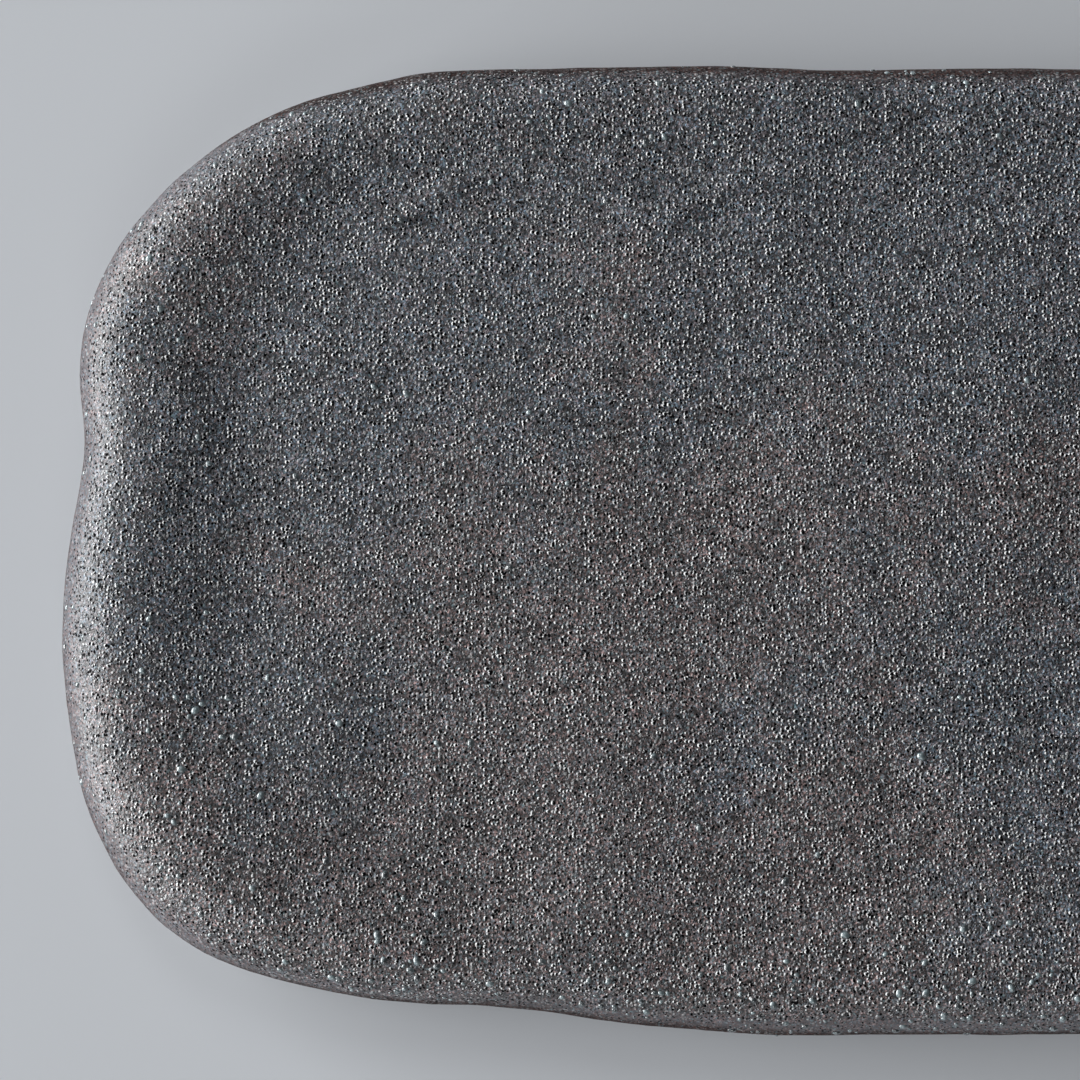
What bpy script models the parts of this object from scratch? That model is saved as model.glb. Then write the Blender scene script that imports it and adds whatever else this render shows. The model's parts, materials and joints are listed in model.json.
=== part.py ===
"""Shallow dished stoneware slab plate, fired as one piece, modelled as one lofted solid.

Units are metres and +Z is up. The plate lies with its foot on Z = 0, its long side along X and its dish
facing up. The origin is under the middle of its outline. Left is -X, right is +X, front is -Y and back is +Y.
"""

import math

import bmesh
import bpy

# Overall size
LENGTH = 0.330
WIDTH = 0.190
HEIGHT = 0.022
CORNER_RADIUS = 0.070

# Rim: the band between the outline and the floor of the dish, by side
RIM_LEFT = 0.040
RIM_BACK = 0.025
RIM_RIGHT = 0.034
RIM_FRONT = 0.031
FLOOR_RADIUS = 0.046
CREST_AT = 0.34  # where the crest stands, as a share of the band from the outline inwards
EDGE_HEIGHT = 0.010  # level at which the plate is widest
DISH_DEPTH = 0.003

# Underside: a foot that runs all the way round a recess
FOOT_INSET = 0.020
FOOT_WIDTH = 0.010
FOOT_LIP = 0.002
FOOT_ROUNDING = 0.0008
COVE_WIDTH = 0.006
FLOOR_THICKNESS = 0.011

# Hand-formed waves of the edge. Each has the side that it is placed from, its distance clockwise from the
# middle of that side, how far it moves the edge outwards and how far along the edge it reaches.
SIDES = ("left", "back", "right", "front")
EDGE_WAVES = (
    ("left", -0.036, -0.0010, 0.012),
    ("left", 0.019, -0.0037, 0.018),
    ("left", 0.020, -0.0005, 0.006),
    ("left", 0.092, -0.0025, 0.045),
    ("left", 0.121, -0.0010, 0.012),
    ("back", -0.045, 0.0004, 0.025),
    ("back", -0.016, -0.0007, 0.014),
    ("back", 0.038, -0.0005, 0.016),
    ("right", -0.108, -0.0028, 0.034),
    ("right", -0.040, -0.0012, 0.016),
    ("right", 0.010, -0.0034, 0.022),
    ("right", 0.100, -0.0030, 0.036),
    ("front", -0.078, -0.0016, 0.020),
    ("front", -0.030, -0.0006, 0.022),
    ("front", 0.075, -0.0042, 0.030),
    ("front", 0.113, -0.0056, 0.027),
)

# Low stretches of the crest, in the same way: side, place, how much lower and how far it reaches
CREST_DIPS = (
    ("left", -0.050, 0.0006, 0.030),
    ("left", 0.062, 0.0010, 0.045),
    ("back", 0.020, 0.0007, 0.040),
    ("right", -0.070, 0.0011, 0.045),
    ("right", 0.045, 0.0005, 0.030),
    ("front", -0.088, 0.0007, 0.035),
    ("front", 0.050, 0.0009, 0.045),
)

# Mesh density
CORNER_STEPS = 18
LONG_SIDE_STEPS = 22
SHORT_SIDE_STEPS = 8
LIP_STEPS = 7
SLOPE_STEPS = 7
SHOULDER_STEPS = 6
COVE_STEPS = 4
SMOOTH_BELOW = math.radians(40)

GLAZE_COLOUR = (0.095, 0.093, 0.096, 1.0)
GLAZE_ROUGHNESS = 0.62


def rounded_rectangle(left, right, front, back, radius):
    """Points clockwise from the middle of the left side, each as (x, y, outward x, outward y)."""
    corners = (
        (left + radius, back - radius, 180),
        (right - radius, back - radius, 90),
        (right - radius, front + radius, 0),
        (left + radius, front + radius, -90),
    )
    steps_after = (LONG_SIDE_STEPS, SHORT_SIDE_STEPS, LONG_SIDE_STEPS, SHORT_SIDE_STEPS)
    points = []
    for index, (x, y, start) in enumerate(corners):
        for step in range(CORNER_STEPS + 1):
            angle = math.radians(start - 90 * step / CORNER_STEPS)
            out_x, out_y = math.cos(angle), math.sin(angle)
            points.append((x + radius * out_x, y + radius * out_y, out_x, out_y))
        from_x, from_y, out_x, out_y = points[-1]
        next_x, next_y, _ = corners[(index + 1) % 4]
        to_x, to_y = next_x + radius * out_x, next_y + radius * out_y
        for step in range(1, steps_after[index]):
            share = step / steps_after[index]
            x_here = from_x + (to_x - from_x) * share
            y_here = from_y + (to_y - from_y) * share
            points.append((x_here, y_here, out_x, out_y))
    half_side = SHORT_SIDE_STEPS // 2
    return points[-half_side:] + points[:-half_side]


def wave_at(waves, distance, perimeter):
    """The sum of these waves at this distance clockwise from the middle of the left side."""
    total = 0.0
    for side, place, amount, reach in waves:
        centre = SIDES.index(side) * perimeter / 4 + place
        gap = (distance - centre) % perimeter
        gap = min(gap, perimeter - gap)
        total += amount * math.exp(-((gap / reach) ** 2))
    return total


def fitted(points, length, width):
    """The points shifted and scaled, so that they measure length by width about the origin."""
    low_x, high_x = min(x for x, _ in points), max(x for x, _ in points)
    low_y, high_y = min(y for _, y in points), max(y for _, y in points)
    scale_x, scale_y = length / (high_x - low_x), width / (high_y - low_y)
    middle_x, middle_y = (low_x + high_x) / 2, (low_y + high_y) / 2
    return [((x - middle_x) * scale_x, (y - middle_y) * scale_y) for x, y in points]


def hand_formed_edge():
    """The silhouette of the plate seen from above, and the height of the crest beside each of its points."""
    base = rounded_rectangle(-LENGTH / 2, LENGTH / 2, -WIDTH / 2, WIDTH / 2, CORNER_RADIUS)
    gaps = [math.dist(base[index - 1][:2], base[index][:2]) for index in range(len(base))]
    perimeter = sum(gaps)
    points, dips = [], []
    distance = -gaps[0]
    for (x, y, out_x, out_y), gap in zip(base, gaps, strict=True):
        distance += gap
        push = wave_at(EDGE_WAVES, distance, perimeter)
        points.append((x + push * out_x, y + push * out_y))
        dips.append(wave_at(CREST_DIPS, distance, perimeter))
    return fitted(points, LENGTH, WIDTH), [HEIGHT - dip + min(dips) for dip in dips]


def inset_loop(left, back, right, front, radius):
    """A rounded rectangle that lies inside the plate's overall size by these distances."""
    made = rounded_rectangle(
        -LENGTH / 2 + left, LENGTH / 2 - right, -WIDTH / 2 + front, WIDTH / 2 - back, radius
    )
    return [(x, y) for x, y, _, _ in made]


def foot_loop(inset):
    return inset_loop(inset, inset, inset, inset, CORNER_RADIUS - inset)


def level(loop, height):
    return [(x, y, height) for x, y in loop]


def between(outer, inner, share):
    """The loop that lies this share of the way from the outer loop to the inner one."""
    return [
        (a + (c - a) * share, b + (d - b) * share)
        for (a, b), (c, d) in zip(outer, inner, strict=True)
    ]


def recess_rings():
    """The roof of the recess and the cove down to the foot."""
    roof_height = HEIGHT - DISH_DEPTH - FLOOR_THICKNESS
    wall = foot_loop(FOOT_INSET + FOOT_WIDTH)
    roof = foot_loop(FOOT_INSET + FOOT_WIDTH + COVE_WIDTH)
    rings = []
    for step in range(COVE_STEPS, -1, -1):
        angle = math.pi / 2 * step / COVE_STEPS
        height = FOOT_ROUNDING + (roof_height - FOOT_ROUNDING) * math.sin(angle)
        rings.append(level(between(wall, roof, 1 - math.cos(angle)), height))
    return rings


def foot_rings():
    """The flat ring that the plate rests on, with rounded edges."""
    return [
        level(foot_loop(FOOT_INSET + FOOT_WIDTH - FOOT_ROUNDING), 0.0),
        level(foot_loop(FOOT_INSET + FOOT_ROUNDING), 0.0),
        level(foot_loop(FOOT_INSET), FOOT_ROUNDING),
    ]


def shoulder_rings(edge):
    """The round shoulder from the top of the foot out to the widest level."""
    foot = foot_loop(FOOT_INSET)
    rings = []
    for step in range(SHOULDER_STEPS):
        angle = math.pi / 2 * step / SHOULDER_STEPS
        height = FOOT_LIP + (EDGE_HEIGHT - FOOT_LIP) * (1 - math.cos(angle))
        rings.append(level(between(foot, edge, math.sin(angle)), height))
    return rings


def from_crest(loop, crest, base, share):
    """The ring over this loop, this share of the way up from the base level to the crest."""
    return [(x, y, base + (top - base) * share) for (x, y), top in zip(loop, crest, strict=True)]


def rim_rings(edge, crest):
    """The rounded rim from the widest level over the crest, then the slope down to the floor of the dish."""
    floor = inset_loop(RIM_LEFT, RIM_BACK, RIM_RIGHT, RIM_FRONT, FLOOR_RADIUS)
    rings = []
    for step in range(LIP_STEPS):
        angle = math.pi / 2 * step / LIP_STEPS
        loop = between(edge, floor, CREST_AT * (1 - math.cos(angle)))
        rings.append(from_crest(loop, crest, EDGE_HEIGHT, math.sin(angle)))
    for step in range(SLOPE_STEPS + 1):
        share = step / SLOPE_STEPS
        fall = share * share * (3 - 2 * share)
        loop = between(edge, floor, CREST_AT + (1 - CREST_AT) * share)
        rings.append(from_crest(loop, crest, HEIGHT - DISH_DEPTH, 1 - fall))
    return rings


def loft(name, rings):
    """A closed solid through the rings, from the underside to the top, with a flat cap at each end."""
    mesh = bmesh.new()
    loops = [[mesh.verts.new(point) for point in ring] for ring in rings]
    for low, high in zip(loops[:-1], loops[1:], strict=True):
        for index in range(len(low)):
            mesh.faces.new((low[index - 1], low[index], high[index], high[index - 1]))
    mesh.faces.new(loops[0])
    mesh.faces.new(loops[-1])
    bmesh.ops.recalc_face_normals(mesh, faces=mesh.faces)
    data = bpy.data.meshes.new(name)
    mesh.to_mesh(data)
    mesh.free()
    data.shade_smooth()
    data.set_sharp_from_angle(angle=SMOOTH_BELOW)
    part = bpy.data.objects.new(name, data)
    bpy.context.scene.collection.objects.link(part)
    return part


def dark_glaze():
    material = bpy.data.materials.new("dark_glaze")
    material.use_nodes = True
    shader = material.node_tree.nodes["Principled BSDF"]
    shader.inputs["Base Color"].default_value = GLAZE_COLOUR
    shader.inputs["Roughness"].default_value = GLAZE_ROUGHNESS
    shader.inputs["Metallic"].default_value = 0.0
    return material


def main():
    for leftover in list(bpy.data.objects):
        bpy.data.objects.remove(leftover)
    edge, crest = hand_formed_edge()
    underside = recess_rings() + foot_rings() + shoulder_rings(edge)
    slab = loft("slab", underside + rim_rings(edge, crest))
    slab.data.materials.append(dark_glaze())


main()
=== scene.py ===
import json
import math
import random
from collections import namedtuple
from functools import cached_property

import bmesh
import bpy
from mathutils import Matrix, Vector, noise

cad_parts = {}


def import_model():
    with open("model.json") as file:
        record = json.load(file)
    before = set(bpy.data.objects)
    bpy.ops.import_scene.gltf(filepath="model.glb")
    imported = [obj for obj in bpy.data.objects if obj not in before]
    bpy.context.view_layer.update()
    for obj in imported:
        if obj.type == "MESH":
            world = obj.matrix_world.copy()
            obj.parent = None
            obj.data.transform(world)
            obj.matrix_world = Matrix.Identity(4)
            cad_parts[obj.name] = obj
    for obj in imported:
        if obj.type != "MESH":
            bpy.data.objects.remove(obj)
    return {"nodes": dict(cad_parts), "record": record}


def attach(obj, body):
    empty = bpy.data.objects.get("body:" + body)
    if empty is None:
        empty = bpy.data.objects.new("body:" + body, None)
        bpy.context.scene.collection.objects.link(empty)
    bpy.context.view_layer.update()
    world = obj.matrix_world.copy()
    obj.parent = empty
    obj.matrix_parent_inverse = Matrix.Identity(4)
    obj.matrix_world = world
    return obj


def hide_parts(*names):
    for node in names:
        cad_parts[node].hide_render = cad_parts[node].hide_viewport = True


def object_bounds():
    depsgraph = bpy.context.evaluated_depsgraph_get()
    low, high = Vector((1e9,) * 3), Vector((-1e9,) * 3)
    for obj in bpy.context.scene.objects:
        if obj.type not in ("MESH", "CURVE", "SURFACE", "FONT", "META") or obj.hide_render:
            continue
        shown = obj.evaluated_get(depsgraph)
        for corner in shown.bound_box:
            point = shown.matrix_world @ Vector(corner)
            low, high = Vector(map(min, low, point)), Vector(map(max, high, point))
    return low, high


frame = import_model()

MM = 0.001
CAD_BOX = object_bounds()
LOW, HIGH = CAD_BOX
REST_FACES = {mount["name"]: mount["pos_m"][2] for mount in frame["record"]["mounts"]}
FLOOR_LEVEL = REST_FACES["dish_floor"]
CREST_LEVEL = HIGH.z

# Camera: looks down on the plate's -X part, with its back side (+Y) up in the picture
VIEW_CENTRE = Vector((LOW.x * 0.4345, 0.0008, CREST_LEVEL * 0.6))
VIEW_WIDTH = (HIGH.x - LOW.x) * 0.636
VIEW_LEAN = math.radians(5)
LENS = 100.0
SENSOR = 36.0

# Studio. A softbox has an azimuth and an elevation in degrees, a distance, a size and a power;
# azimuth 0 is over the plate's +X end, and 90 over its back side
SOFTBOXES = {
    "key": (172, 15, 6.0, (9.2, 2.6), 760),
    "side_fill": (186, 50, 3.0, (2.6, 1.6), 13),
    "top_fill": (100, 50, 2.5, (0.9, 0.9), 5.5),
    "front_fill": (265, 35, 3.0, (1.8, 1.2), 12),
}
STUDIO_FLOOR_HALF = 12.0
STUDIO_FLOOR_COLOUR = (0.68, 0.71, 0.75)
STUDIO_FLOOR_ROUGHNESS = 0.9
SKY_COLOUR = (0.78, 0.80, 0.84)
SKY_AT_HORIZON = 0.50
SKY_OVERHEAD = 0.04
SKY_FADE = (0.04, 0.30)  # the sky dims between these heights of a direction of length 1

# Body: an even, dense, smooth mesh over the CAD shape
WELD_DISTANCE = 1e-6
QUAD_FACE_ANGLE = math.radians(40)
QUAD_SHAPE_ANGLE = math.radians(80)
ROUNDING_LEVELS = 2
VOXEL = 1.25 * MM
SMOOTHING_FACTOR = 0.5
SMOOTHING_PASSES = 6

# Marks that hands left in the skin. An offset picks another part of the noise for each mark
CALM_BELOW = 3 * MM  # the foot stays true, because the plate rests on it
LIVELY_ABOVE = 7 * MM
SWELL = 0.56 * MM
SWELL_SPANS = (26 * MM, 52 * MM, 40 * MM)  # strokes run from front to back
SWELL_OFFSET = Vector((4.3, 1.9, 0.0))
DIMPLE = 0.045 * MM
DIMPLE_SPAN = 11 * MM
DIMPLE_OFFSET = Vector((0.6, 7.7, 2.0))
LUMP = 0.18 * MM
LUMP_SPAN = 8 * MM
LUMP_OFFSET = Vector((9.1, 3.2, 5.0))
LUMPS_START = 0.2 * MM  # above the dish floor
LUMPS_FULL = 1.6 * MM
IN_DISH_FACING = 0.9  # least upward part of the skin's normal in the dish
IN_DISH_DEPTH = 1 * MM

# Scalloped edge where the back rim was smoothed down on to the dish floor
SCALLOP_LINE = HIGH.y - 23.5 * MM
SCALLOPS = ((-103 * MM, 9.5 * MM, 12 * MM), (-47 * MM, 8.0 * MM, 11 * MM))  # X, depth, half width
SCALLOP_START = -116 * MM
SCALLOP_RISE = 12 * MM
SCALLOP_END = 30 * MM
SCALLOP_FALL = 40 * MM
SCALLOP_RIDGE = 0.75 * MM
SCALLOP_WIDTH = 2.3 * MM

# Low bank left by a thumb in the dish: place, height, and its reach towards -X, towards +X and along Y
BANK = Vector((-113 * MM, -40 * MM))
BANK_HEIGHT = 1.15 * MM
BANK_BACK = 17 * MM
BANK_FRONT = 8 * MM
BANK_SIDE = 15 * MM

# Glassy beads that stand out of the glaze. A share says how readily a kind of place gets a bead
SEED = 7
BEADS = 1000
BEAD_SMALL = 0.34 * MM
BEAD_LARGE = 0.92 * MM
BEAD_SMALL_BIAS = 2.0
BEAD_DETAIL = 2
BEAD_SINK = 0.36
BEAD_FLATNESS = 0.85
BEAD_WOBBLE = 0.16
BEADS_ABOVE = 5 * MM
BEAD_GROUP_SPAN = 14 * MM
BEAD_GROUP_LEVEL = 0.35
BEAD_SHARE_IN_GROUP = 1.3
BEAD_SHARE_ALONE = 0.35
BEAD_SHARE_UNDER_EDGE = 0.03
UNDER_EDGE_FACING = 0.35
BEAD_SHARE_ON_SIDE = 1.7
SIDE_FACING = 0.85
BEAD_SHARE_IN_DISH = 0.14
DISH_FACING = 0.95
DISH_BAND = 0.5 * MM
BEAD_SHARE_AT_FRONT = 3.0
FRONT_BAND = 16 * MM

# Colours
WARM = (0.114, 0.100, 0.099)
COOL = (0.083, 0.092, 0.104)
RIM_TONE = (0.110, 0.099, 0.102)
THIN_GLAZE = (0.046, 0.028, 0.023)
CLAY = (0.300, 0.215, 0.150)
DARK_CLAY = (0.170, 0.115, 0.080)
# Near-black painted shade: the shade in the pinholes' pits and on the unlit side of each bubble and spark
PINHOLE_SHADE = (0.004, 0.004, 0.005)
# Near-white painted highlight: the glints on the bubbles' lit lips and the sparks
PAINTED_GLINT = (0.93, 0.95, 0.96)
TEAL = (0.17, 0.27, 0.30)
ROSE = (0.30, 0.22, 0.20)
WARM_GRAIN = (1.22, 0.95, 0.93)  # these two multiply a tone
COOL_GRAIN = (0.81, 1.03, 1.19)
DARK_BEAD = (0.050, 0.062, 0.068)
MILKY_BEAD = (0.23, 0.30, 0.32)

# Spots in the glaze: size of the cells that hold one spot each, radius of the largest spot, share of
# the cells in use, and an offset that keeps one kind of spot apart from the next
Spots = namedtuple("Spots", "cell radius share offset")
TEAL_SPECKS = Spots(0.90 * MM, 0.32 * MM, 0.40, (0.11, 0.62, 0.35))
ROSE_SPECKS = Spots(1.10 * MM, 0.32 * MM, 0.25, (0.77, 0.12, 0.55))
# BUBBLES carry a painted glint on their lit lip and painted shade on their far side; SPARKS are small
# painted glints, each with painted shade beside it; PORES and PRICKS are real pits, painted near-black as
# the shade in them
BUBBLES = Spots(0.80 * MM, 0.42 * MM, 0.78, (0.31, 0.27, 0.93))
SPARKS = Spots(0.52 * MM, 0.20 * MM, 0.55, (0.25, 0.85, 0.45))
PORES = Spots(0.98 * MM, 0.34 * MM, 0.70, (0.5, 0.2, 0.9))
PRICKS = Spots(0.76 * MM, 0.28 * MM, 0.80, (0.4, 0.8, 0.1))
SMALLEST_SPOT = 0.6  # as a share of the largest one
SPOT_EDGE = 0.75  # a flat spot fades out from here to its radius
IN_USE_FADE = 0.02
RAGGED_SPAN = 0.55 * MM
RAGGED_REACH = 0.30 * MM

# Other spots of a bubble or a spark, which lie a little to one side of it: painted shade on the side away
# from the light, and the dome of the bubble's relief
BUBBLE_SHADE_RADIUS = 0.39 * MM
BUBBLE_SHADE_SHIFT = (-0.22 * MM, 0.06 * MM)
DOME_RADIUS = 0.44 * MM
DOME_SHIFT = (-0.08 * MM, 0.02 * MM)
SPARK_SHADE_RADIUS = 0.19 * MM
SPARK_SHADE_SHIFT = (-0.12 * MM, 0.03 * MM)

# Cloudy noise: its size, detail, roughness, and an offset that keeps one noise apart from the next
Cloud = namedtuple("Cloud", "size detail roughness offset", defaults=((0, 0, 0),))
DRIFT = Cloud(55 * MM, 3.0, 0.55)
PATCHES = Cloud(9 * MM, 3.0, 0.6, (3.1, 1.7, 0.4))
BROAD_GRAIN = Cloud(8 * MM, 3.0, 0.6, (0.3, 0.9, 0.1))
COARSE_GRAIN = Cloud(0.85 * MM, 2.0, 0.75, (0.2, 0.5, 0.8))
UNEVEN_LEVEL = Cloud(2.5 * MM, 3.0, 0.6)
BUBBLE_PATCHES = Cloud(3.2 * MM, 2.0, 0.7, (5.0, 0.4, 2.2))
CLAY_GRAIN = Cloud(1.2 * MM, 4.0, 0.7)
BEAD_MILK = Cloud(2.4 * MM, 1.0, 0.5)
BEAD_SKIN = Cloud(1.1 * MM, 2.0, 0.5)

# Drift of the tone over the plate
PATCHES_SHARE = 0.5
FRONT_TO_BACK = (-0.12, 0.12)  # cooler towards the back
COOL_FADE = (0.64, 0.84)
OUTER_FADE = (0.40, 0.85)  # how far the rim leans outwards where its outer side starts and is full
RIM_TONE_SHARE = 0.8

# Lightness of the grain
FINE_GRAIN_CELL = 0.30 * MM
FINE_GRAIN_OFFSET = (0.71, 0.33, 0.15)
FINE_GRAIN_LIGHT = (0.02, 3.7)
COARSE_GRAIN_FADE = (0.36, 0.64)
COARSE_GRAIN_LIGHT = (0.5, 1.5)
BROAD_GRAIN_FADE = (0.34, 0.66)
BROAD_GRAIN_LIGHT = (0.72, 1.28)
GRAIN_TINT_FADE = (0.25, 0.75)
QUIET_OUTSIDE = 0.62  # share of the grain that is lost on the rim's outer side

# Where the glaze runs thin and brown round the outermost edge, higher at the back than in front
UNEVEN_REACH = 2.4 * MM
THIN_FADE = (12.0 * MM, 16.5 * MM)
THIN_HIGHER_AT_BACK = 6.8 * MM
BACK_FADE = (HIGH.y - 22 * MM, HIGH.y - 5 * MM)
THIN_HIGHER_IN_FRONT = 2.2 * MM
FRONT_FADE = (LOW.y + 5 * MM, LOW.y + 20 * MM)
THIN_FADE_BELOW = (6.5 * MM, 10.5 * MM)
THIN_SHARE_BELOW = 0.25
THIN_STRENGTH = 0.9
BARE_FADE = (2.2 * MM, 2.5 * MM)  # the foot's clay stays bare under this level

# Strength of the spots, among them the painted glints and the painted shade on the unlit side of the
# bubbles
SPECK_STRENGTH = 0.6
SPARK_STRENGTH = 0.9
CROWD_FADE = (0.34, 0.58)
CROWD_LEAST = 0.30
CROWD_OUTSIDE = 0.20
LIP_GLINT_FADE = (0.0, 0.6)
DIMMEST_LIP_GLINT = 0.12
BUBBLE_SHADE_LEAST = 0.3
PORES_FADE = (0.0, 0.5)
PRICKS_FADE = (0.0, 0.6)

# Relief, in millimetres
BUBBLE_HEIGHT = 0.24
PORE_DEPTH = 0.30
GRAIN_HEIGHT = (0.12, 0.30)  # on the rim's outer side, and in the dish

# Gloss
GLOSS_FADE = (0.35, 0.65)
GLAZE_ROUGHNESS = (0.62, 0.40)
CLAY_ROUGHNESS = 0.9
SPECULAR_LEVEL = 0.02
COAT_ROUGHNESS = 0.42
COAT_IOR = 1.75
MILK_FADE = (0.40, 0.66)
BEAD_SKIN_FADE = (0.3, 0.7)
BEAD_ROUGHNESS = (0.10, 0.30)
BEAD_COAT_ROUGHNESS = 0.08
BEAD_COAT_IOR = 1.8


def smooth_step(value, low, high):
    share = min(1.0, max(0.0, (value - low) / (high - low)))
    return share * share * (3 - 2 * share)


# ---------------------------------------------------------------- meshes
def new_object(name, data):
    made = bpy.data.objects.new(name, data)
    bpy.context.scene.collection.objects.link(made)
    return made


def apply_modifiers(piece):
    """Replaces the piece's mesh with what its modifiers make of it."""
    graph = bpy.context.evaluated_depsgraph_get()
    mesh = bpy.data.meshes.new_from_object(piece.evaluated_get(graph), depsgraph=graph)
    piece.modifiers.clear()
    piece.data = mesh


def quad_copy(node, name):
    """A copy of a CAD node's mesh, welded, with its triangles joined in pairs."""
    mesh = bmesh.new()
    mesh.from_mesh(frame["nodes"][node].data)
    bmesh.ops.remove_doubles(mesh, verts=mesh.verts, dist=WELD_DISTANCE)
    bmesh.ops.join_triangles(
        mesh,
        faces=mesh.faces,
        angle_face_threshold=QUAD_FACE_ANGLE,
        angle_shape_threshold=QUAD_SHAPE_ANGLE,
    )
    data = bpy.data.meshes.new(name)
    mesh.to_mesh(data)
    mesh.free()
    return new_object(name, data)


def smooth_copy(node, name):
    """A dense, even, smooth copy of a CAD node's mesh."""
    piece = quad_copy(node, name)
    rounded = piece.modifiers.new("rounded", "SUBSURF")
    rounded.levels = ROUNDING_LEVELS
    rounded.render_levels = ROUNDING_LEVELS
    even = piece.modifiers.new("even", "REMESH")
    even.mode = "VOXEL"
    even.voxel_size = VOXEL
    calm = piece.modifiers.new("calm", "SMOOTH")
    calm.factor = SMOOTHING_FACTOR
    calm.iterations = SMOOTHING_PASSES
    apply_modifiers(piece)
    return piece


def scallop_ridge(point):
    """Height of the thin wavy ridge that the last stroke along the back rim left."""
    line = SCALLOP_LINE
    for place, depth, half_width in SCALLOPS:
        line -= depth * math.exp(-(((point.x - place) / half_width) ** 2))
    across = (point.y - line) / SCALLOP_WIDTH
    along = smooth_step(point.x, SCALLOP_START, SCALLOP_START + SCALLOP_RISE)
    along *= 1 - smooth_step(point.x, SCALLOP_END - SCALLOP_FALL, SCALLOP_END)
    return SCALLOP_RIDGE * along * math.exp(-across * across)


def thumb_bank(point):
    """Height of the low bank that a thumb pushed up in the dish."""
    along = (point.x - BANK.x) / (BANK_FRONT if point.x > BANK.x else BANK_BACK)
    across = (point.y - BANK.y) / BANK_SIDE
    return BANK_HEIGHT * math.exp(-along * along - across * across)


def hand_marks(point, on_rim):
    """How far the skin stands out of the CAD shape at a point, before it fades out towards the foot."""
    stroke = Vector(at / span for at, span in zip(point, SWELL_SPANS))
    swell = SWELL * noise.noise(stroke + SWELL_OFFSET)
    dimple = DIMPLE * noise.noise(point / DIMPLE_SPAN + DIMPLE_OFFSET)
    lump = LUMP * on_rim * noise.noise(point / LUMP_SPAN + LUMP_OFFSET)
    return swell + dimple + lump


def work_the_skin(piece):
    """Moves every point along its normal by the hand marks."""
    mesh = piece.data
    normals = [vertex.normal.copy() for vertex in mesh.vertices]
    for vertex, normal in zip(mesh.vertices, normals):
        point = vertex.co
        fade = smooth_step(point.z, CALM_BELOW, LIVELY_ABOVE)
        if not fade:
            continue
        on_rim = 1.0
        in_dish = normal.z > IN_DISH_FACING and point.z > FLOOR_LEVEL - IN_DISH_DEPTH
        if in_dish:
            on_rim = smooth_step(point.z, FLOOR_LEVEL + LUMPS_START, FLOOR_LEVEL + LUMPS_FULL)
        out = hand_marks(point, on_rim)
        if in_dish:
            out += scallop_ridge(point) + thumb_bank(point)
        vertex.co = point + normal * (out * fade)
    mesh.update()


def glazed_body():
    piece = smooth_copy("slab", "glazed_slab")
    work_the_skin(piece)
    piece.data.shade_smooth()
    return piece


def bead_share(centre, normal):
    """How readily a bead stands at a place: in loose groups, and more on the rim than in the dish."""
    group = max(0.0, noise.noise(centre / BEAD_GROUP_SPAN) + BEAD_GROUP_LEVEL)
    share = BEAD_SHARE_ALONE + BEAD_SHARE_IN_GROUP * group
    if normal.z < UNDER_EDGE_FACING:
        share *= BEAD_SHARE_UNDER_EDGE
    elif normal.z < SIDE_FACING:
        share *= BEAD_SHARE_ON_SIDE
    elif normal.z > DISH_FACING and centre.z < FLOOR_LEVEL + DISH_BAND:
        share *= BEAD_SHARE_IN_DISH
    if centre.y < LOW.y + FRONT_BAND:
        share *= BEAD_SHARE_AT_FRONT
    return share


def bead_places(body):
    """Seeded places on the body's skin, each with the skin's normal, a radius and a turn."""
    pick = random.Random(SEED)
    faces = [face for face in body.data.polygons if face.center.z > BEADS_ABOVE and face.normal.z > 0]
    weights = [face.area * bead_share(face.center, face.normal) for face in faces]
    for face in pick.choices(faces, weights=weights, k=BEADS):
        radius = BEAD_SMALL + (BEAD_LARGE - BEAD_SMALL) * pick.random() ** BEAD_SMALL_BIAS
        yield face.center, face.normal, radius, pick.uniform(0, math.tau)


def unit_ball():
    """Corners and faces of a ball of radius 1."""
    mesh = bmesh.new()
    bmesh.ops.create_icosphere(mesh, subdivisions=BEAD_DETAIL, radius=1.0)
    corners = [vertex.co.copy() for vertex in mesh.verts]
    faces = [[vertex.index for vertex in face.verts] for face in mesh.faces]
    mesh.free()
    return corners, faces


def glaze_beads(body):
    """Low glassy domes, each a flattened ball sunk into the skin."""
    ball, ball_faces = unit_ball()
    points = []
    faces = []
    for centre, normal, radius, turn in bead_places(body):
        stand = normal.to_track_quat("Z", "Y").to_matrix()
        start = len(points)
        for corner in ball:
            wobble = 1 + BEAD_WOBBLE * math.sin(2 * math.atan2(corner.y, corner.x) + turn)
            height = corner.z * BEAD_FLATNESS - BEAD_SINK
            shaped = Vector((corner.x * wobble, corner.y * wobble, height))
            points.append(centre + stand @ (shaped * radius))
        faces += [[start + index for index in face] for face in ball_faces]
    mesh = bpy.data.meshes.new("glaze_beads")
    mesh.from_pydata(points, [], faces)
    mesh.shade_smooth()
    return new_object("glaze_beads", mesh)


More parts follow.
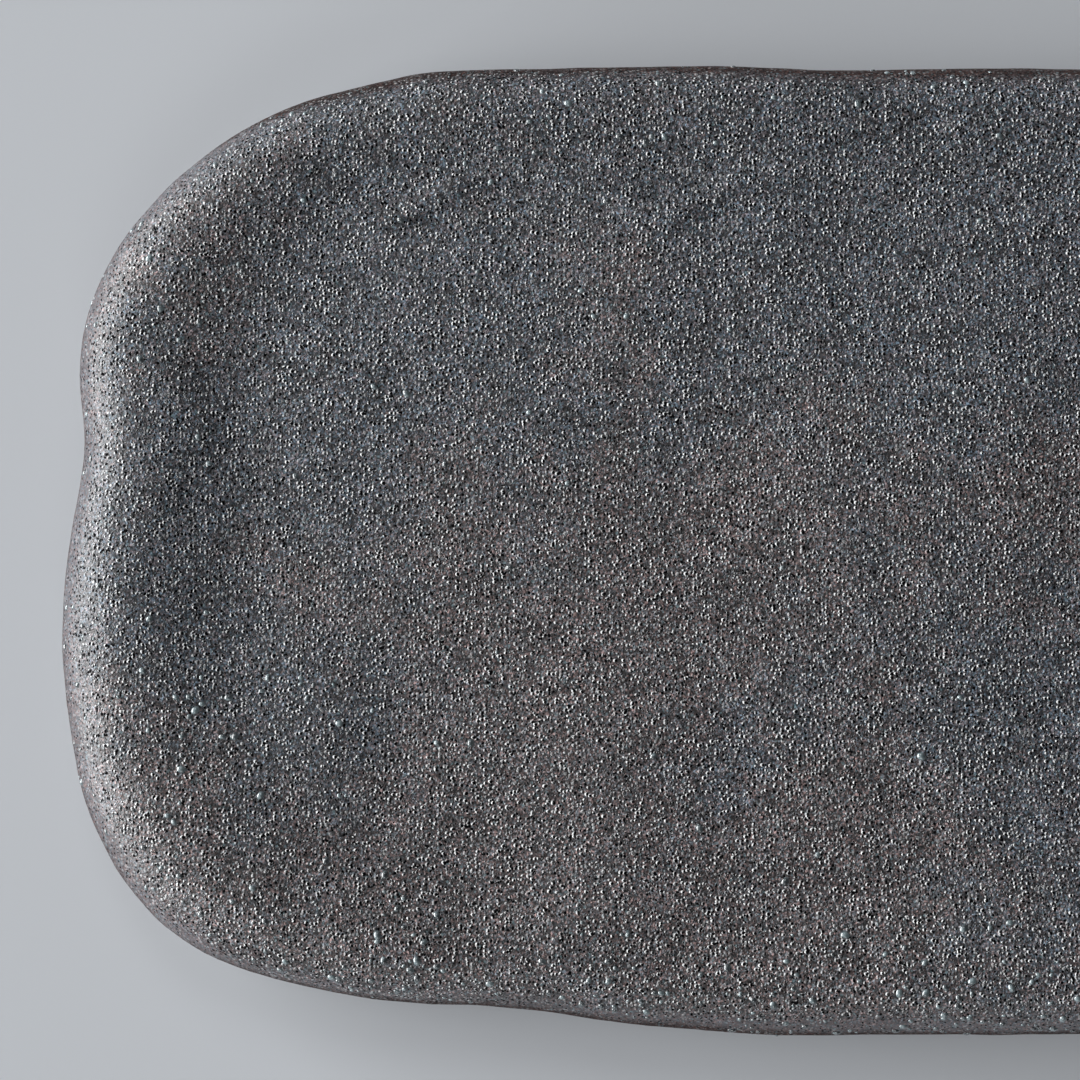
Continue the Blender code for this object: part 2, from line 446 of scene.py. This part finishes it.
# ---------------------------------------------------------------- materials
class Graph:
    """Short ways to add nodes to a material. A value may be a number, a colour or a node's output."""

    def __init__(self, name):
        self.material = bpy.data.materials.new(name)
        self.material.use_nodes = True
        self.tree = self.material.node_tree
        self.shader = self.tree.nodes["Principled BSDF"]
        coordinates = self.tree.nodes.new("ShaderNodeTexCoord").outputs
        self.place = coordinates["Object"]
        self.normal = coordinates["Normal"]

    def put(self, value, socket):
        if isinstance(value, bpy.types.NodeSocket):
            self.tree.links.new(value, socket)
        elif isinstance(value, tuple) and len(value) == 3 and socket.type == "RGBA":
            socket.default_value = (*value, 1.0)
        else:
            socket.default_value = value

    def shade(self, **values):
        """Sets the shader's own sockets. An underscore in a name stands for a space."""
        for name, value in values.items():
            self.put(value, self.shader.inputs[name.replace("_", " ")])

    def add(self, kind, inputs, **settings):
        made = self.tree.nodes.new("ShaderNode" + kind)
        for name, value in settings.items():
            setattr(made, name, value)
        for name, value in inputs.items():
            self.put(value, made.inputs[name])
        return made

    def math(self, operation, *values):
        return self.add("Math", dict(enumerate(values)), operation=operation).outputs[0]

    def times(self, product, *others):
        for other in others:
            product = self.math("MULTIPLY", product, other)
        return product

    def inverse(self, value):
        return self.math("SUBTRACT", 1.0, value)

    def vector(self, operation, first, second):
        return self.add("VectorMath", {0: first, 1: second}, operation=operation).outputs[0]

    def ramp(self, value, span, reach=(0.0, 1.0), smooth=True):
        """Maps a value from a span to a reach, and holds it beyond both ends."""
        kind = "SMOOTHSTEP" if smooth else "LINEAR"
        inputs = {
            "Value": value,
            "From Min": span[0],
            "From Max": span[1],
            "To Min": reach[0],
            "To Max": reach[1],
        }
        return self.add("MapRange", inputs, interpolation_type=kind).outputs["Result"]

    def cloud(self, kind):
        inputs = {
            "Vector": self.vector("ADD", self.place, kind.offset),
            "Scale": 1 / kind.size,
            "Detail": kind.detail,
            "Roughness": kind.roughness,
        }
        return self.add("TexNoise", inputs).outputs["Fac"]

    @cached_property
    def bent(self):
        """Places pushed about by fine noise, so that round spots come out irregular."""
        inputs = {"Vector": self.place, "Scale": 1 / RAGGED_SPAN, "Detail": 1.0}
        push = self.add("TexNoise", inputs).outputs["Color"]
        push = self.vector("SUBTRACT", push, (0.5, 0.5, 0.5))
        push = self.add("VectorMath", {0: push, "Scale": RAGGED_REACH}, operation="SCALE").outputs[0]
        return self.vector("ADD", self.place, push)

    def cells(self, size, offset):
        """Distance to the nearest cell's centre in cell sizes, and three random numbers for that cell."""
        inputs = {"Vector": self.vector("ADD", self.bent, offset), "Scale": 1 / size}
        made = self.add("TexVoronoi", inputs, feature="F1")
        picks = self.add("SeparateColor", {"Color": made.outputs["Color"]}).outputs
        return made.outputs["Distance"], list(picks)

    def mix(self, share, first, second, blend="MIX"):
        made = self.add("Mix", {}, data_type="RGBA", blend_type=blend)
        self.put(share, made.inputs[0])
        self.put(first, made.inputs[6])
        self.put(second, made.inputs[7])
        return made.outputs[2]

    def grey(self, value):
        return self.add("CombineColor", {"Red": value, "Green": value, "Blue": value}).outputs[0]

    def along(self, axis):
        return self.add("SeparateXYZ", {0: self.place}).outputs[axis]


def moved(spots, radius, shift):
    """The same spots with another radius, a little to one side."""
    x, y, z = spots.offset
    return spots._replace(radius=radius, offset=(x + shift[0], y + shift[1], z))


def in_spots(g, spots):
    """Distance from the nearest spot's centre in radii, whether it is in use, and its random numbers."""
    gap, picks = g.cells(spots.cell, spots.offset)
    first_used = 1 - spots.share
    radii = (SMALLEST_SPOT * spots.radius / spots.cell, spots.radius / spots.cell)
    radius = g.ramp(picks[0], (first_used, 1.0), radii, smooth=False)
    used = g.ramp(picks[0], (first_used, first_used + IN_USE_FADE))
    return g.math("DIVIDE", gap, radius), used, picks


def flat_spots(g, spots):
    """How strongly a point lies in a flat spot, and the spot's random numbers."""
    ratio, used, picks = in_spots(g, spots)
    return g.times(g.inverse(g.ramp(ratio, (SPOT_EDGE, 1.0))), used), picks


def domes(g, spots):
    """Round bubbles, as a height from 0 to 1."""
    ratio, used, _ = in_spots(g, spots)
    bulge = g.math("SQRT", g.math("MAXIMUM", g.inverse(g.times(ratio, ratio)), 0.0))
    return g.times(bulge, used)


def outer_side(g):
    """0 in the dish, rising to 1 where the rim turns away from the plate's middle."""
    flat = g.vector("MULTIPLY", g.place, (1, 1, 0))
    away = g.add("VectorMath", {0: flat}, operation="NORMALIZE").outputs[0]
    lean = g.add("VectorMath", {0: away, 1: g.normal}, operation="DOT_PRODUCT").outputs["Value"]
    return g.ramp(lean, OUTER_FADE)


def drifting_tone(g, outer):
    """Warm and cool greys that drift over the plate, and a browner violet grey on the rim's outer side."""
    both = g.math("ADD", g.cloud(DRIFT), g.times(g.cloud(PATCHES), PATCHES_SHARE))
    both = g.math("ADD", both, g.ramp(g.along("Y"), (LOW.y, HIGH.y), FRONT_TO_BACK, smooth=False))
    tone = g.mix(g.ramp(both, COOL_FADE), WARM, COOL)
    return g.mix(g.times(outer, RIM_TONE_SHARE), tone, RIM_TONE)


def sand(g, outer):
    """Colour to multiply each fine grain by, quieter on the rim's outer side, and the coarse grain."""
    coarse = g.cloud(COARSE_GRAIN)
    _, picks = g.cells(FINE_GRAIN_CELL, FINE_GRAIN_OFFSET)
    light = g.ramp(g.times(picks[0], picks[1]), (0.0, 1.0), FINE_GRAIN_LIGHT, smooth=False)
    light = g.times(light, g.ramp(coarse, COARSE_GRAIN_FADE, COARSE_GRAIN_LIGHT))
    light = g.times(light, g.ramp(g.cloud(BROAD_GRAIN), BROAD_GRAIN_FADE, BROAD_GRAIN_LIGHT))
    quiet = g.times(outer, QUIET_OUTSIDE)
    light = g.math("ADD", g.times(light, g.inverse(quiet)), quiet)
    tint = g.mix(g.ramp(picks[2], GRAIN_TINT_FADE), WARM_GRAIN, COOL_GRAIN)
    return g.mix(1.0, tint, g.grey(light), "MULTIPLY"), coarse


def thin_places(g):
    """A ragged level in the place of Z, and where the glaze is thin and brown round the outermost edge."""
    ragged = g.math("ADD", g.along("Z"), g.times(g.cloud(UNEVEN_LEVEL), UNEVEN_REACH))
    back = g.ramp(g.along("Y"), BACK_FADE, (0.0, THIN_HIGHER_AT_BACK))
    front = g.ramp(g.along("Y"), FRONT_FADE, (THIN_HIGHER_IN_FRONT, 0.0))
    level = g.math("SUBTRACT", g.math("SUBTRACT", ragged, back), front)
    thin = g.inverse(g.ramp(level, THIN_FADE))
    return ragged, g.times(thin, g.ramp(ragged, THIN_FADE_BELOW, (THIN_SHARE_BELOW, 1.0)))


def with_specks(g, tone):
    """The tone with a few teal and rose specks."""
    for spots, colour in ((TEAL_SPECKS, TEAL), (ROSE_SPECKS, ROSE)):
        speck, _ = flat_spots(g, spots)
        tone = g.mix(g.times(speck, SPECK_STRENGTH), tone, colour)
    return tone


def bubble_crowd(g, inner):
    """How closely the bubbles stand: in patches, and fewer on the rim's outer side."""
    crowd = g.ramp(g.cloud(BUBBLE_PATCHES), CROWD_FADE, (CROWD_LEAST, 1.0))
    return g.times(crowd, g.ramp(inner, (0.0, 1.0), (CROWD_OUTSIDE, 1.0)))


def with_painted_glints(g, tone, crowd, inner):
    """The tone with painted highlights: a painted glint on the lit lip of each bubble, some brighter than
    others, and painted spark glints.
    """
    lip_glint, bubble_picks = flat_spots(g, BUBBLES)
    clear = g.ramp(bubble_picks[1], LIP_GLINT_FADE, (DIMMEST_LIP_GLINT, 1.0), smooth=False)
    tone = g.mix(g.times(lip_glint, crowd, clear), tone, PAINTED_GLINT)
    spark, spark_picks = flat_spots(g, SPARKS)
    spark = g.times(spark, inner, g.times(spark_picks[1], SPARK_STRENGTH))
    return g.mix(spark, tone, PAINTED_GLINT)


def painted_unlit_sides(g, crowd, inner):
    """Painted shade on the side of each bubble and each spark that faces away from the light."""
    bubble_shade, _ = flat_spots(g, moved(BUBBLES, BUBBLE_SHADE_RADIUS, BUBBLE_SHADE_SHIFT))
    bubble_shade = g.times(bubble_shade, g.ramp(crowd, (0.0, 1.0), (BUBBLE_SHADE_LEAST, 1.0)))
    bubble_shade = g.times(bubble_shade, g.ramp(inner, (0.0, 1.0), (BUBBLE_SHADE_LEAST, 1.0)))
    shade, _ = flat_spots(g, moved(SPARKS, SPARK_SHADE_RADIUS, SPARK_SHADE_SHIFT))
    return g.math("MAXIMUM", bubble_shade, g.times(shade, inner))


def open_pores(g, inner, outer):
    """Pinholes: broad ones in the dish, and finer ones on the rim's outer side. The glaze paints them
    near-black, as painted shade in their pits.
    """
    pore, _ = flat_spots(g, PORES)
    pore = g.times(pore, g.ramp(inner, PORES_FADE))
    prick, _ = flat_spots(g, PRICKS)
    return g.math("MAXIMUM", pore, g.times(prick, g.ramp(outer, PRICKS_FADE)))


def fine_relief(g, grain, crowd, pore, inner):
    """The normal over the grain, the domed bubbles and the sunk pores."""
    dome = domes(g, moved(BUBBLES, DOME_RADIUS, DOME_SHIFT))
    dome = g.times(dome, g.times(crowd, BUBBLE_HEIGHT))
    relief = g.times(g.math("SUBTRACT", grain, 0.5), g.ramp(inner, (0.0, 1.0), GRAIN_HEIGHT))
    relief = g.math("ADD", relief, dome)
    relief = g.math("ADD", relief, g.times(pore, -PORE_DEPTH))
    return g.add("Bump", {"Strength": 1.0, "Distance": MM, "Height": relief}).outputs[0]


def glaze():
    """Dark, gritty, pinholed glaze with painted glints and painted shade on its bubbles, thin and brown at
    the outermost edge, with bare clay on the foot.
    """
    g = Graph("dark_gritty_glaze")
    outer = outer_side(g)
    inner = g.inverse(outer)
    light, grain = sand(g, outer)
    ragged, thin = thin_places(g)
    crowd = bubble_crowd(g, inner)
    pore = open_pores(g, inner, outer)
    painted_shade = g.math("MAXIMUM", painted_unlit_sides(g, crowd, inner), pore)
    bare = g.inverse(g.ramp(ragged, BARE_FADE))

    tone = g.mix(g.times(thin, THIN_STRENGTH), drifting_tone(g, outer), THIN_GLAZE)
    tone = g.mix(1.0, tone, light, "MULTIPLY")
    tone = with_specks(g, tone)
    # Painted highlights: glints on the bubbles' lips and the sparks
    tone = with_painted_glints(g, tone, crowd, inner)
    # Painted shade: near-black in the pinholes and on the unlit side of the bubbles and sparks
    tone = g.mix(painted_shade, tone, PINHOLE_SHADE)
    clay = g.mix(g.cloud(CLAY_GRAIN), CLAY, DARK_CLAY)

    gloss = g.ramp(grain, GLOSS_FADE, GLAZE_ROUGHNESS, smooth=False)
    relief = fine_relief(g, grain, crowd, pore, inner)
    g.shade(
        Base_Color=g.mix(bare, tone, clay),
        Roughness=g.mix(bare, g.grey(gloss), (CLAY_ROUGHNESS,) * 3),
        Specular_IOR_Level=SPECULAR_LEVEL,
        Normal=relief,
        Coat_Weight=g.times(g.inverse(bare), g.inverse(painted_shade), g.inverse(thin)),
        Coat_Roughness=COAT_ROUGHNESS,
        Coat_IOR=COAT_IOR,
        Coat_Normal=relief,
    )
    return g.material


def bead_glass():
    """Glassy drops, dark to milky, with a thin skin that shines."""
    g = Graph("glaze_bead_glass")
    g.shade(
        Base_Color=g.mix(g.ramp(g.cloud(BEAD_MILK), MILK_FADE), DARK_BEAD, MILKY_BEAD),
        Roughness=g.ramp(g.cloud(BEAD_SKIN), BEAD_SKIN_FADE, BEAD_ROUGHNESS),
        Specular_IOR_Level=1.0,
        Coat_Weight=1.0,
        Coat_Roughness=BEAD_COAT_ROUGHNESS,
        Coat_IOR=BEAD_COAT_IOR,
    )
    return g.material


def dress(piece, material):
    piece.data.materials.clear()
    piece.data.materials.append(material)
    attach(piece, "root")


# ---------------------------------------------------------------- studio
def studio_floor():
    half = STUDIO_FLOOR_HALF
    corners = [(-half, -half, 0), (half, -half, 0), (half, half, 0), (-half, half, 0)]
    mesh = bpy.data.meshes.new("studio_floor")
    mesh.from_pydata(corners, [], [(0, 1, 2, 3)])
    g = Graph("pale_floor")
    g.shade(Base_Color=STUDIO_FLOOR_COLOUR, Roughness=STUDIO_FLOOR_ROUGHNESS)
    mesh.materials.append(g.material)
    plane = new_object("studio_floor", mesh)


def softbox(name, azimuth, elevation, distance, size, power):
    """A rectangular light that faces the middle of the picture."""
    data = bpy.data.lights.new(name, "AREA")
    data.shape = "RECTANGLE"
    data.size, data.size_y = size
    data.energy = power
    lamp = new_object(name, data)
    turn = math.radians(azimuth)
    rise = math.radians(elevation)
    flat = math.cos(rise)
    direction = Vector((math.cos(turn) * flat, math.sin(turn) * flat, math.sin(rise)))
    lamp.location = VIEW_CENTRE + direction * distance
    lamp.rotation_mode = "QUATERNION"
    lamp.rotation_quaternion = direction.to_track_quat("Z", "Y")


def world():
    """Pale at the horizon and dim above it."""
    made = bpy.data.worlds.new("studio")
    made.use_nodes = True
    tree = made.node_tree
    background = tree.nodes["Background"]
    background.inputs["Color"].default_value = (*SKY_COLOUR, 1)
    direction = tree.nodes.new("ShaderNodeTexCoord").outputs["Generated"]
    split = tree.nodes.new("ShaderNodeSeparateXYZ")
    tree.links.new(direction, split.inputs[0])
    fade = tree.nodes.new("ShaderNodeMapRange")
    fade.interpolation_type = "SMOOTHSTEP"
    fade.inputs["From Min"].default_value = SKY_FADE[0]
    fade.inputs["From Max"].default_value = SKY_FADE[1]
    fade.inputs["To Min"].default_value = SKY_AT_HORIZON
    fade.inputs["To Max"].default_value = SKY_OVERHEAD
    tree.links.new(split.outputs["Z"], fade.inputs["Value"])
    tree.links.new(fade.outputs["Result"], background.inputs["Strength"])
    bpy.context.scene.world = made


def camera():
    data = bpy.data.cameras.new("camera")
    data.lens = LENS
    data.sensor_width = SENSOR
    made = new_object("camera", data)
    distance = VIEW_WIDTH * LENS / SENSOR
    back = Vector((0, -math.sin(VIEW_LEAN), math.cos(VIEW_LEAN)))
    made.location = VIEW_CENTRE + back * distance
    made.rotation_mode = "QUATERNION"
    made.rotation_quaternion = back.to_track_quat("Z", "Y")
    bpy.context.scene.camera = made


body = glazed_body()
dress(body, glaze())
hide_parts("slab")
dress(glaze_beads(body), bead_glass())

studio_floor()
world()
for lamp_name, setting in SOFTBOXES.items():
    softbox(lamp_name, *setting)
camera()
bpy.context.scene.view_settings.view_transform = "Standard"
